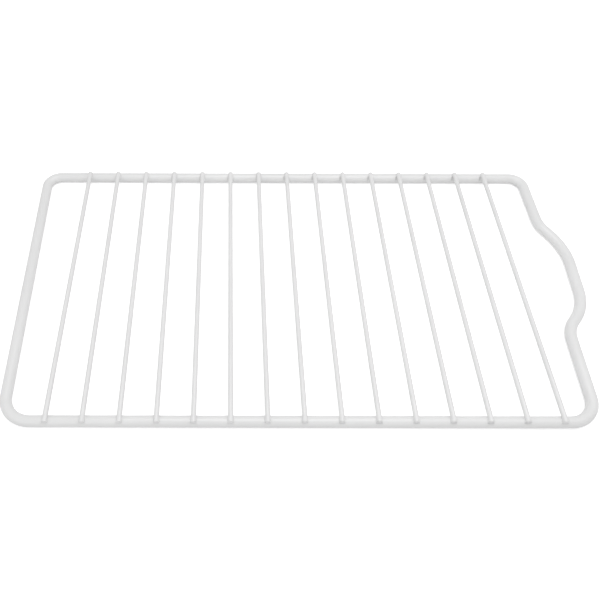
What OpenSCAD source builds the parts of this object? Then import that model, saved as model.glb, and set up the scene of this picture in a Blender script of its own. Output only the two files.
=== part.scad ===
// Wire shelf of a refrigerator: one bent frame rod with straight cross wires welded on top of it,
// all under one white coat. Sizes are over the coat. The origin lies under the middle of the
// shelf's box, +X along the long rails, +Y from the front rail to the rear rail.

/* [Frame] */
// Length of the front rail, between the points where its centreline meets those of the sides
frame_l = 357.2; // [330:0.1:480]
// Depth between the centrelines of the two long rails
frame_d = 206; // [198:0.5:280]
// Diameter of the frame rod
rod_d = 7.2; // [6:0.1:9]
// Bend radius of the two front corners, to the rod's centreline
front_corner_r = 17; // [12:0.5:20]
// Bend radius of the two rear corners, to the rod's centreline
rear_corner_r = 10; // [8:0.5:14]
// How much farther out the left side stands at the rear rail than at the front rail
left_flare = 6.5; // [0:0.5:12]

/* [Bulge of the right side] */
// Outward lean of the right side from the front corner to the bulge, in degrees
front_lean = 2.5; // [0:0.5:6]
// Straight run from the front corner to the bulge
front_run = 41.5; // [30:0.5:50]
// Lean of the rod where it climbs out to the bulge
climb_lean = 41; // [30:1:48]
// Bend radius where the bulge starts
entry_r = 22; // [12:1:26]
// Straight run between the first two bends of the bulge
climb_run = 4; // [1:0.5:9]
// Bend radius of the bulge's front shoulder
front_shoulder_r = 38; // [25:1:42]
// Outward lean of the bulge's crown
crown_lean = 4; // [1:0.5:8]
// Straight run along the bulge's crown
crown_run = 23; // [12:0.5:30]
// Bend radius of the bulge's rear shoulder
rear_shoulder_r = 50; // [30:1:56]
// Lean of the rod where it comes back in from the bulge
return_lean = 32.5; // [26:0.5:38]
// Straight run between the last two bends of the bulge
return_run = 1; // [0.5:0.5:6]
// Bend radius where the bulge ends
exit_r = 24; // [12:1:30]

/* [Cross wires] */
// Number of cross wires
wire_count = 15; // [9:1:17]
// Diameter of a cross wire
wire_d = 3.2; // [2.6:0.1:4.5]
// From the front rail's left end to the first wire
left_gap = 27; // [24:0.5:40]
// From the last wire to the front rail's right end
right_gap = 22.2; // [21:0.1:40]
// How far a wire runs past the centreline of the front rail
front_overhang = 2.5; // [1:0.1:3]
// How far a wire runs past the centreline of the rear rail
rear_overhang = 0.8; // [0.4:0.1:3]
// Rounding of the coated edge at a wire's cut end
end_round = 0.5; // [0.2:0.1:0.9]

/* [Welds] */
// How deep a cross wire is pressed into the frame rod when it is welded
weld_sink = 0.6; // [0.3:0.1:0.9]
// Radius of the fillet that weld and coat leave between a cross wire and the frame rod
foot_fillet = 0.7; // [0.4:0.1:0.9]

/* [Hidden] */
$fn = 64;
coat = [0.9, 0.9, 0.9];

rod_r = rod_d / 2;
wire_r = wire_d / 2;
front_y = -frame_d / 2;
rear_y = frame_d / 2;
// A bend is this much fuller than the runs beside it, and each run ends this far inside it
bend_proud = 0.02;
bend_lap = 0.2;
rod_z = rod_r + bend_proud;
crown_z = rod_z + rod_r;

// A bent rod is a list of steps [straight run, bend radius, turn], where a turn to the left is
// positive. A pose is [x, y, heading], measured from where the rod starts along +X.
function after_step(pose, s) =
    let (x = pose[0] + s[0] * cos(pose[2]), y = pose[1] + s[0] * sin(pose[2]),
         heading = pose[2] + s[2], r = sign(s[2]) * s[1])
    [x + r * (sin(heading) - sin(pose[2])), y + r * (cos(pose[2]) - cos(heading)), heading];
function after_steps(steps, pose = [0, 0, 0], i = 0) =
    i < len(steps) ? after_steps(steps, after_step(pose, steps[i]), i + 1) : pose;
// From the start of a bend to the point where the centrelines beside it meet
function corner_tangent(r, turn) = r * tan(turn / 2);

// The left side is straight and leans outward to the rear
left_lean = atan(left_flare / frame_d);
left_front_turn = 90 - left_lean;
left_rear_turn = 90 + left_lean;
left_front_tangent = corner_tangent(front_corner_r, left_front_turn);
left_rear_tangent = corner_tangent(rear_corner_r, left_rear_turn);
left_run = norm([left_flare, frame_d]) - left_front_tangent - left_rear_tangent;

// The right side, from the start of its front corner to the end of the bulge
right_front_turn = 90 - front_lean;
right_front_tangent = corner_tangent(front_corner_r, right_front_turn);
to_crown = [
    [0, front_corner_r, right_front_turn],
    [front_run, entry_r, front_lean - climb_lean],
    [climb_run, front_shoulder_r, climb_lean - crown_lean],
];
from_crown = [
    [crown_run, rear_shoulder_r, crown_lean + return_lean],
    [return_run, exit_r, -return_lean],
];
rear_run = frame_d - rear_corner_r - after_steps(concat(to_crown, from_crown))[1];
right_side = concat(to_crown, from_crown, [[rear_run, rear_corner_r, 90]]);

// How far the centreline reaches past the front rail's two ends sets the middle of the shelf
right_reach = after_steps(to_crown)[0] + crown_run * sin(crown_lean)
    + rear_shoulder_r * (1 - cos(crown_lean)) - right_front_tangent;
left_reach = left_flare - left_rear_tangent * sin(left_lean) + rear_corner_r * (1 - cos(left_lean));
left_x = (left_reach - right_reach - frame_l) / 2;
right_x = left_x + frame_l;

wire_pitch = (frame_l - left_gap - right_gap) / (wire_count - 1);
wire_rise = wire_r - weld_sink;
wire_z = crown_z + wire_rise;
wire_l = frame_d + front_overhang + rear_overhang;
function wire_x(i) = left_x + left_gap + (i - 1) * wire_pitch;
function wire_name(i) = str("cross_wire_", i < 10 ? "0" : "", i);

// A weld's fillet rolls between the rod's crown and the wire's flank. It dips a little into the
// rod and laps a little into the wire, so that it closes on both.
foot_dip = 0.03;
foot_lap = 0.08;
// The weld is drawn from this deep inside the rod, and this many degrees round it from its crown.
// Its ends slope at the angle of the ramp, from a toe that is at most toe_wrap degrees round.
foot_root = 0.3;
foot_wrap = 60;
foot_ramp = 57;
toe_wrap = 47;
foot_half_w = sqrt(pow(wire_r + foot_fillet, 2) - pow(wire_rise - foot_fillet, 2)) - foot_lap;
foot_h = wire_rise - (wire_rise - foot_fillet) * wire_r / (wire_r + foot_fillet);
// The wire is pressed into the rod this far from the rod's centreline, and the weld goes farther
pressed_l = sqrt(pow(rod_r, 2) - pow(rod_r - weld_sink, 2));
foot_toe = min(pressed_l + foot_fillet / 2, rod_r * sin(toe_wrap));

// The loop runs from the rear right corner along the rear rail, then round by the left side,
// the front rail and the right side to where it began
loop_start_x = right_x - right_front_tangent + after_steps(right_side)[0];
rear_rail_l = loop_start_x - (left_x - left_flare + left_rear_tangent);
front_rail_l = frame_l - left_front_tangent - right_front_tangent;
loop_steps = concat(
    [
        [rear_rail_l, rear_corner_r, left_rear_turn],
        [left_run, front_corner_r, left_front_turn],
        [front_rail_l, front_corner_r, right_front_turn],
    ],
    [for (i = [1:len(right_side) - 1]) right_side[i]]
);

module bend(r, turn) {
    translate([0, sign(turn) * r, 0])
        rotate_extrude(angle = abs(turn), start = turn > 0 ? -90 : 90 + turn)
            translate([r, 0]) circle(r = rod_r + bend_proud);
}

module after_bend(r, turn) {
    inward = sign(turn) * r;
    translate([0, inward, 0]) rotate([0, 0, turn]) translate([0, -inward, 0]) children();
}

module straight_run(length) {
    translate([-bend_lap, 0, 0]) rotate([0, 90, 0]) cylinder(d = rod_d, h = length + 2 * bend_lap);
}

// Each run and bend is placed from the end of the one before it
module bent_rod(steps, i = 0) {
    if (i < len(steps)) {
        straight_run(steps[i][0]);
        translate([steps[i][0], 0, 0]) {
            bend(steps[i][1], steps[i][2]);
            after_bend(steps[i][1], steps[i][2]) bent_rod(steps, i + 1);
        }
    }
}

module frame_rod() {
    color(coat) translate([loop_start_x, rear_y, rod_z]) rotate([0, 0, 180]) bent_rod(loop_steps);
}

module rounded_end() {
    rotate_extrude() {
        square([wire_r - end_round, end_round]);
        intersection() {
            translate([wire_r - end_round, 0]) square(end_round);
            translate([wire_r - end_round, end_round]) circle(r = end_round);
        }
    }
}

module straight_wire() {
    translate([0, -front_overhang, 0]) rotate([-90, 0, 0]) {
        rounded_end();
        translate([0, 0, end_round]) cylinder(d = wire_d, h = wire_l - 2 * end_round);
        translate([0, 0, wire_l]) mirror([0, 0, 1]) rounded_end();
    }
}

// Section of the weld across the wire, with a fillet on each flank. The rod's centreline is at 0.
module foot_section() {
    difference() {
        translate([rod_r - foot_root, -foot_half_w]) square([foot_root + foot_h, 2 * foot_half_w]);
        for (side = [-1, 1])
            translate([rod_r + foot_fillet - foot_dip, side * foot_half_w]) circle(r = foot_fillet);
    }
}

// How far from the rod's centreline a weld's end is at a height, where it rises from this toe
function ramp_y(toe, z) = toe + (sqrt(pow(rod_r, 2) - pow(toe, 2)) - z) / tan(foot_ramp);

// Weld and coat fill the corners between a wire and the rod under it. They hug the rod, slope down
// to it where the wire leaves it, and close round the wire's cut end.
module weld_foot(overhang) {
    end_toe = min(foot_toe, overhang + foot_fillet);
    low = rod_r / 2;
    high = rod_r + foot_h + foot_root;
    intersection() {
        rotate([0, 90, 0])
            rotate_extrude(angle = 2 * foot_wrap, start = 180 - foot_wrap) foot_section();
        translate([-foot_half_w, 0, 0]) rotate([90, 0, 90]) linear_extrude(2 * foot_half_w)
            polygon([
                [-ramp_y(end_toe, low), low],
                [ramp_y(foot_toe, low), low],
                [ramp_y(foot_toe, high), high],
                [-ramp_y(end_toe, high), high],
            ]);
    }
}

module rail_cut(y) {
    translate([-wire_pitch / 2, y, rod_z]) rotate([0, 90, 0]) cylinder(d = rod_d, h = wire_pitch);
}

module cross_wire(i) {
    color(coat) translate([wire_x(i), 0, 0]) difference() {
        union() {
            translate([0, front_y, wire_z]) straight_wire();
            translate([0, front_y, rod_z]) weld_foot(front_overhang);
            translate([0, rear_y, rod_z]) mirror([0, 1, 0]) weld_foot(rear_overhang);
        }
        for (y = [front_y, rear_y]) rail_cut(y);
    }
}

frame_rod();
for (i = [1:wire_count])
    cross_wire(i);
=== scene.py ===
"""A refrigerator's wire shelf under its white coat, on a plain white floor, as the photograph shows it."""
import math

import bpy
from mathutils import Matrix, Vector

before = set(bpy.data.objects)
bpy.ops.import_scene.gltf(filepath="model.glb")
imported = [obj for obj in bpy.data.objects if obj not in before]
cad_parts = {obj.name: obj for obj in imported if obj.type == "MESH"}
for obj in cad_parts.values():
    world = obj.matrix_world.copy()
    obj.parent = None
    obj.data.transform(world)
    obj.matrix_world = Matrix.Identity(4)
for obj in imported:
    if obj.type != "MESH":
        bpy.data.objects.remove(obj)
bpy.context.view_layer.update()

# Camera: the photograph is a crop, so its lens points left of the picture's middle
PICTURE_PX = 600
FOCAL_PX = 601.9
LENS_AXIS_PX = 228.8
SENSOR_MM = 36.0
NEAREST_SEEN = 0.01
CAMERA_AT = Vector((-0.0510, -0.2480, 0.3407))
CAMERA_DOWN = math.radians(55.30)
CAMERA_YAW = math.radians(0.14)
CAMERA_ROLL = math.radians(-0.25)

# Light: a white tent and three weak soft boxes, given by place, aim and watts
TENT_LEVEL = 0.61
BOX_SIDE = 0.4
SOFT_BOXES = {
    "over_middle": (Vector((0.0, 0.0, 0.60)), Vector((0.0, 0.0, 0.0)), 1.14),
    "over_right": (Vector((0.35, 0.0, 0.60)), Vector((0.20, 0.0, 0.0)), 0.49),
    "front_left": (Vector((-0.40, -0.40, 0.35)), Vector((-0.10, 0.0, 0.0)), 0.35),
}
# Near the shelf the floor's own white comes to between 0.8 and 0.9. The camera sees it lifted, so
# that only the deepest part of the shadow shows, and gloss sees it at plain white.
FLOOR_COLOR = (0.9, 0.9, 0.9, 1.0)
LIFT_IN_VIEW = 0.46
LIFT_IN_GLOSS = 0.14
FLOOR_HALF = 3.0
WHITE = (1.0, 1.0, 1.0, 1.0)

# Finish: a satin coat that drifts slowly between two tones. A scale counts the cells of its noise
# in a metre.
COAT_COLOR = (0.79, 0.79, 0.79)
DRIFT_TONE = 0.97
DRIFT_SCALE = 22.0
DRIFT_BETWEEN = (0.35, 0.65)
ROUGHNESS = (0.28, 0.42)
ROUGHNESS_SCALE = 160.0
PEEL_DEPTH = 0.00004
PEEL_SCALE = 900.0

# Painted shade in two places, darker toward the right where less light falls: on the wires' cut
# ends at the front rail, and in the left corner of their welds on the rear rail. A corner is
# measured across from its wire's centreline and forward from its wire's rear end.
CUT_END_SHADE = 0.14
CUT_DEPTH = 0.0014
CUT_STARTS_X = -0.03
CUT_FULL_X = 0.05
WELD_CORNER_SHADE = 0.23
CORNER_ACROSS = (-0.0022, -0.0015)
CORNER_FROM_END = (-0.0046, -0.0033)
CORNER_HEIGHT = (0.0029, 0.0078)
CORNER_LEAST = 0.55
CORNER_SOFT = 0.0006
# Noise makes the painted shade uneven from wire to wire.
PATCH_SCALE = 45.0
PATCH_BETWEEN = (0.3, 0.55)
PATCH_LEAST = 0.5


def box_of(part):
    """Low and high corner of a CAD node, in metres."""
    corners = [Vector(corner) for corner in part.bound_box]
    return [Vector(map(pick, zip(*corners))) for pick in (min, max)]


# Where the wires lie, read from the first and the last
wires = [part for name, part in sorted(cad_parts.items()) if name.startswith("cross_wire")]
first_low, first_high = box_of(wires[0])
last_low, last_high = box_of(wires[-1])
wire_front_y = first_low.y
wire_rear_y = first_high.y
first_wire_x = (first_low.x + first_high.x) / 2
last_wire_x = (last_low.x + last_high.x) / 2
wire_pitch = (last_wire_x - first_wire_x) / (len(wires) - 1)


def node_of(tree, kind, **inputs):
    """Adds a shader node and sets its sockets by name."""
    made = tree.nodes.new(kind)
    for name, value in inputs.items():
        made.inputs[name.replace("_", " ")].default_value = value
    return made


def math_node(tree, operation, first, second):
    """Works on a socket and a number or two sockets, and returns the result's socket."""
    made = tree.nodes.new("ShaderNodeMath")
    made.operation = operation
    for socket, value in zip(made.inputs, (first, second)):
        if isinstance(value, (int, float)):
            socket.default_value = value
        else:
            tree.links.new(value, socket)
    return made.outputs["Value"]


def background_rays(tree):
    """Two sockets: 1 for a ray from the camera, and 1 for a ray by way of gloss or glass."""
    path = tree.nodes.new("ShaderNodeLightPath")
    gloss = math_node(tree, "MAXIMUM", path.outputs["Is Glossy Ray"], path.outputs["Is Transmission Ray"])
    return path.outputs["Is Camera Ray"], gloss


def empty_material(name):
    """A node material with no nodes yet."""
    material = bpy.data.materials.new(name)
    material.use_nodes = True
    material.node_tree.nodes.clear()
    return material


def rise(tree, value, start, full, least=0.0):
    """Rises smoothly to 1 between two values, from 0 or from the least."""
    made = tree.nodes.new("ShaderNodeMapRange")
    made.interpolation_type = "SMOOTHSTEP"
    made.inputs["From Min"].default_value = start
    made.inputs["From Max"].default_value = full
    made.inputs["To Min"].default_value = least
    tree.links.new(value, made.inputs["Value"])
    return made.outputs["Result"]


def product(tree, factors):
    """Multiplies sockets and numbers, the first of which is a socket."""
    result = factors[0]
    for factor in factors[1:]:
        result = math_node(tree, "MULTIPLY", result, factor)
    return result


def between(tree, value, low, high):
    """1 between two values, and soft beyond them."""
    return product(tree, [
        rise(tree, value, low - CORNER_SOFT, low),
        rise(tree, value, high + CORNER_SOFT, high),
    ])


def painted_weld_corner_shade(tree, x, y, z):
    """Painted shade in the left corner of each weld on the rear rail, darker toward the right."""
    half = wire_pitch / 2
    from_first = math_node(tree, "SUBTRACT", x, first_wire_x - half)
    along_pitch = math_node(tree, "FLOORED_MODULO", from_first, wire_pitch)
    across = math_node(tree, "SUBTRACT", along_pitch, half)
    from_end = math_node(tree, "SUBTRACT", y, wire_rear_y)
    return product(tree, [
        between(tree, across, *CORNER_ACROSS),
        between(tree, from_end, *CORNER_FROM_END),
        between(tree, z, *CORNER_HEIGHT),
        between(tree, x, first_wire_x - half, last_wire_x),
        rise(tree, x, first_wire_x, last_wire_x, CORNER_LEAST),
        WELD_CORNER_SHADE,
    ])


def painted_cut_end_shade(tree, x, y):
    """Painted shade on the wires' cut ends at the front rail, darker toward the right."""
    return product(tree, [
        rise(tree, x, CUT_STARTS_X, CUT_FULL_X),
        rise(tree, y, wire_front_y + CUT_DEPTH, wire_front_y + CUT_DEPTH / 3),
        CUT_END_SHADE,
    ])


def painted_shade_places(tree, place, has_cut_ends):
    """How much painted shade darkens the coat, uneven from wire to wire."""
    at = tree.nodes.new("ShaderNodeSeparateXYZ")
    tree.links.new(place.outputs["Object"], at.inputs["Vector"])
    x, y, z = at.outputs["X"], at.outputs["Y"], at.outputs["Z"]
    painted_shade_mask = painted_weld_corner_shade(tree, x, y, z)
    if has_cut_ends:
        painted_shade_mask = math_node(tree, "MAXIMUM", painted_shade_mask, painted_cut_end_shade(tree, x, y))
    patches = node_of(tree, "ShaderNodeTexNoise", Scale=PATCH_SCALE, Detail=1.0)
    tree.links.new(place.outputs["Object"], patches.inputs["Vector"])
    return product(tree, [painted_shade_mask, rise(tree, patches.outputs["Fac"], *PATCH_BETWEEN, PATCH_LEAST)])


def white_coat(name, has_cut_ends):
    """Satin white coat: faint orange peel, a slow drift of tone, an uneven sheen and painted shade."""
    material = empty_material(name)
    tree = material.node_tree
    place = tree.nodes.new("ShaderNodeTexCoord")
    output = tree.nodes.new("ShaderNodeOutputMaterial")
    shader = node_of(tree, "ShaderNodeBsdfPrincipled", IOR=1.5)
    shader.inputs["Coat Weight"].default_value = 0.25
    shader.inputs["Coat Roughness"].default_value = 0.18

    drift = node_of(tree, "ShaderNodeTexNoise", Scale=DRIFT_SCALE, Detail=3.0, Roughness=0.55)
    tint = tree.nodes.new("ShaderNodeValToRGB")
    for stop, position, tone in zip(tint.color_ramp.elements, DRIFT_BETWEEN, (DRIFT_TONE, 1.0)):
        stop.position = position
        stop.color = tuple(tone * c for c in COAT_COLOR) + (1.0,)
    tree.links.new(place.outputs["Object"], drift.inputs["Vector"])
    tree.links.new(drift.outputs["Fac"], tint.inputs["Fac"])
    # Painted shade at the cut ends and weld corners darkens the coat's tint.
    painted_shade_amount = painted_shade_places(tree, place, has_cut_ends)
    shaded_tint = tree.nodes.new("ShaderNodeVectorMath")
    shaded_tint.operation = "SCALE"
    tree.links.new(tint.outputs["Color"], shaded_tint.inputs["Vector"])
    tree.links.new(math_node(tree, "SUBTRACT", 1.0, painted_shade_amount), shaded_tint.inputs["Scale"])
    tree.links.new(shaded_tint.outputs["Vector"], shader.inputs["Base Color"])

    sheen = node_of(tree, "ShaderNodeTexNoise", Scale=ROUGHNESS_SCALE, Detail=2.0)
    spread = tree.nodes.new("ShaderNodeMapRange")
    spread.inputs["To Min"].default_value = ROUGHNESS[0]
    spread.inputs["To Max"].default_value = ROUGHNESS[1]
    tree.links.new(place.outputs["Object"], sheen.inputs["Vector"])
    tree.links.new(sheen.outputs["Fac"], spread.inputs["Value"])
    tree.links.new(spread.outputs["Result"], shader.inputs["Roughness"])

    peel = node_of(tree, "ShaderNodeTexNoise", Scale=PEEL_SCALE, Detail=1.5, Roughness=0.4)
    bump = node_of(tree, "ShaderNodeBump", Strength=0.35, Distance=PEEL_DEPTH)
    tree.links.new(place.outputs["Object"], peel.inputs["Vector"])
    tree.links.new(peel.outputs["Fac"], bump.inputs["Height"])
    tree.links.new(bump.outputs["Normal"], shader.inputs["Normal"])

    tree.links.new(shader.outputs["BSDF"], output.inputs["Surface"])
    return material


def white_floor():
    """White floor that keeps the shelf's shadow, lifted to the photograph's white where it shows."""
    material = empty_material("white_floor")
    tree = material.node_tree
    output = tree.nodes.new("ShaderNodeOutputMaterial")
    diffuse = node_of(tree, "ShaderNodeBsdfDiffuse", Color=FLOOR_COLOR)
    glow = node_of(tree, "ShaderNodeEmission", Color=WHITE)
    in_view, in_gloss = background_rays(tree)
    lift_in_view = math_node(tree, "MULTIPLY", in_view, LIFT_IN_VIEW)
    lift_in_gloss = math_node(tree, "MULTIPLY", in_gloss, LIFT_IN_GLOSS)
    lift = math_node(tree, "ADD", lift_in_view, lift_in_gloss)
    both = tree.nodes.new("ShaderNodeAddShader")
    tree.links.new(lift, glow.inputs["Strength"])
    tree.links.new(diffuse.outputs["BSDF"], both.inputs[0])
    tree.links.new(glow.outputs["Emission"], both.inputs[1])
    tree.links.new(both.outputs["Shader"], output.inputs["Surface"])
    return material


def make_floor():
    """A square floor, an object apart from the shelf."""
    mesh = bpy.data.meshes.new("floor")
    corners = [(x * FLOOR_HALF, y * FLOOR_HALF, 0.0) for x, y in ((-1, -1), (1, -1), (1, 1), (-1, 1))]
    mesh.from_pydata(corners, [], [(0, 1, 2, 3)])
    mesh.materials.append(white_floor())
    floor = bpy.data.objects.new("floor", mesh)
    bpy.context.scene.collection.objects.link(floor)


def make_world():
    """White tent of one level all round, which shows as plain white."""
    world = bpy.data.worlds.new("tent")
    world.use_nodes = True
    tree = world.node_tree
    tree.nodes.clear()
    output = tree.nodes.new("ShaderNodeOutputWorld")
    light = node_of(tree, "ShaderNodeBackground", Color=WHITE, Strength=TENT_LEVEL)
    seen = node_of(tree, "ShaderNodeBackground", Color=WHITE, Strength=1.0)
    in_view, in_gloss = background_rays(tree)
    choice = tree.nodes.new("ShaderNodeMixShader")
    tree.links.new(math_node(tree, "MAXIMUM", in_view, in_gloss), choice.inputs["Fac"])
    tree.links.new(light.outputs["Background"], choice.inputs[1])
    tree.links.new(seen.outputs["Background"], choice.inputs[2])
    tree.links.new(choice.outputs["Shader"], output.inputs["Surface"])
    bpy.context.scene.world = world


def make_soft_box(name, place, aim, watts):
    """A square lamp at a place, turned to face its aim."""
    data = bpy.data.lights.new(name, "AREA")
    data.shape = "SQUARE"
    data.size = BOX_SIDE
    data.energy = watts
    box = bpy.data.objects.new(name, data)
    box.location = place
    box.rotation_euler = (aim - place).to_track_quat("-Z", "Y").to_euler()
    bpy.context.scene.collection.objects.link(box)


def make_camera():
    """The photograph's camera, which looks down on the front rail."""
    data = bpy.data.cameras.new("camera")
    data.sensor_width = SENSOR_MM
    data.lens = SENSOR_MM * FOCAL_PX / PICTURE_PX
    data.shift_x = 0.5 - LENS_AXIS_PX / PICTURE_PX
    data.clip_start = NEAREST_SEEN
    ahead = Vector((math.sin(CAMERA_YAW) * math.cos(CAMERA_DOWN),
                    math.cos(CAMERA_YAW) * math.cos(CAMERA_DOWN),
                    -math.sin(CAMERA_DOWN)))
    level_right = Vector((math.cos(CAMERA_YAW), -math.sin(CAMERA_YAW), 0.0))
    level_down = ahead.cross(level_right)
    right = level_right * math.cos(CAMERA_ROLL) + level_down * math.sin(CAMERA_ROLL)
    down = level_down * math.cos(CAMERA_ROLL) - level_right * math.sin(CAMERA_ROLL)
    camera = bpy.data.objects.new("camera", data)
    turn = Matrix((right, -down, -ahead)).transposed().to_4x4()
    camera.matrix_world = Matrix.Translation(CAMERA_AT) @ turn
    bpy.context.scene.collection.objects.link(camera)
    bpy.context.scene.camera = camera


make_camera()
rod_coat = white_coat("rod_coat", has_cut_ends=False)
wire_coat = white_coat("wire_coat", has_cut_ends=True)
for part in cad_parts.values():
    for used in part.material_slots:
        used.material = wire_coat if part in wires else rod_coat
make_floor()
make_world()
for box_name, setting in SOFT_BOXES.items():
    make_soft_box(box_name, *setting)
bpy.context.scene.view_settings.view_transform = "Standard"
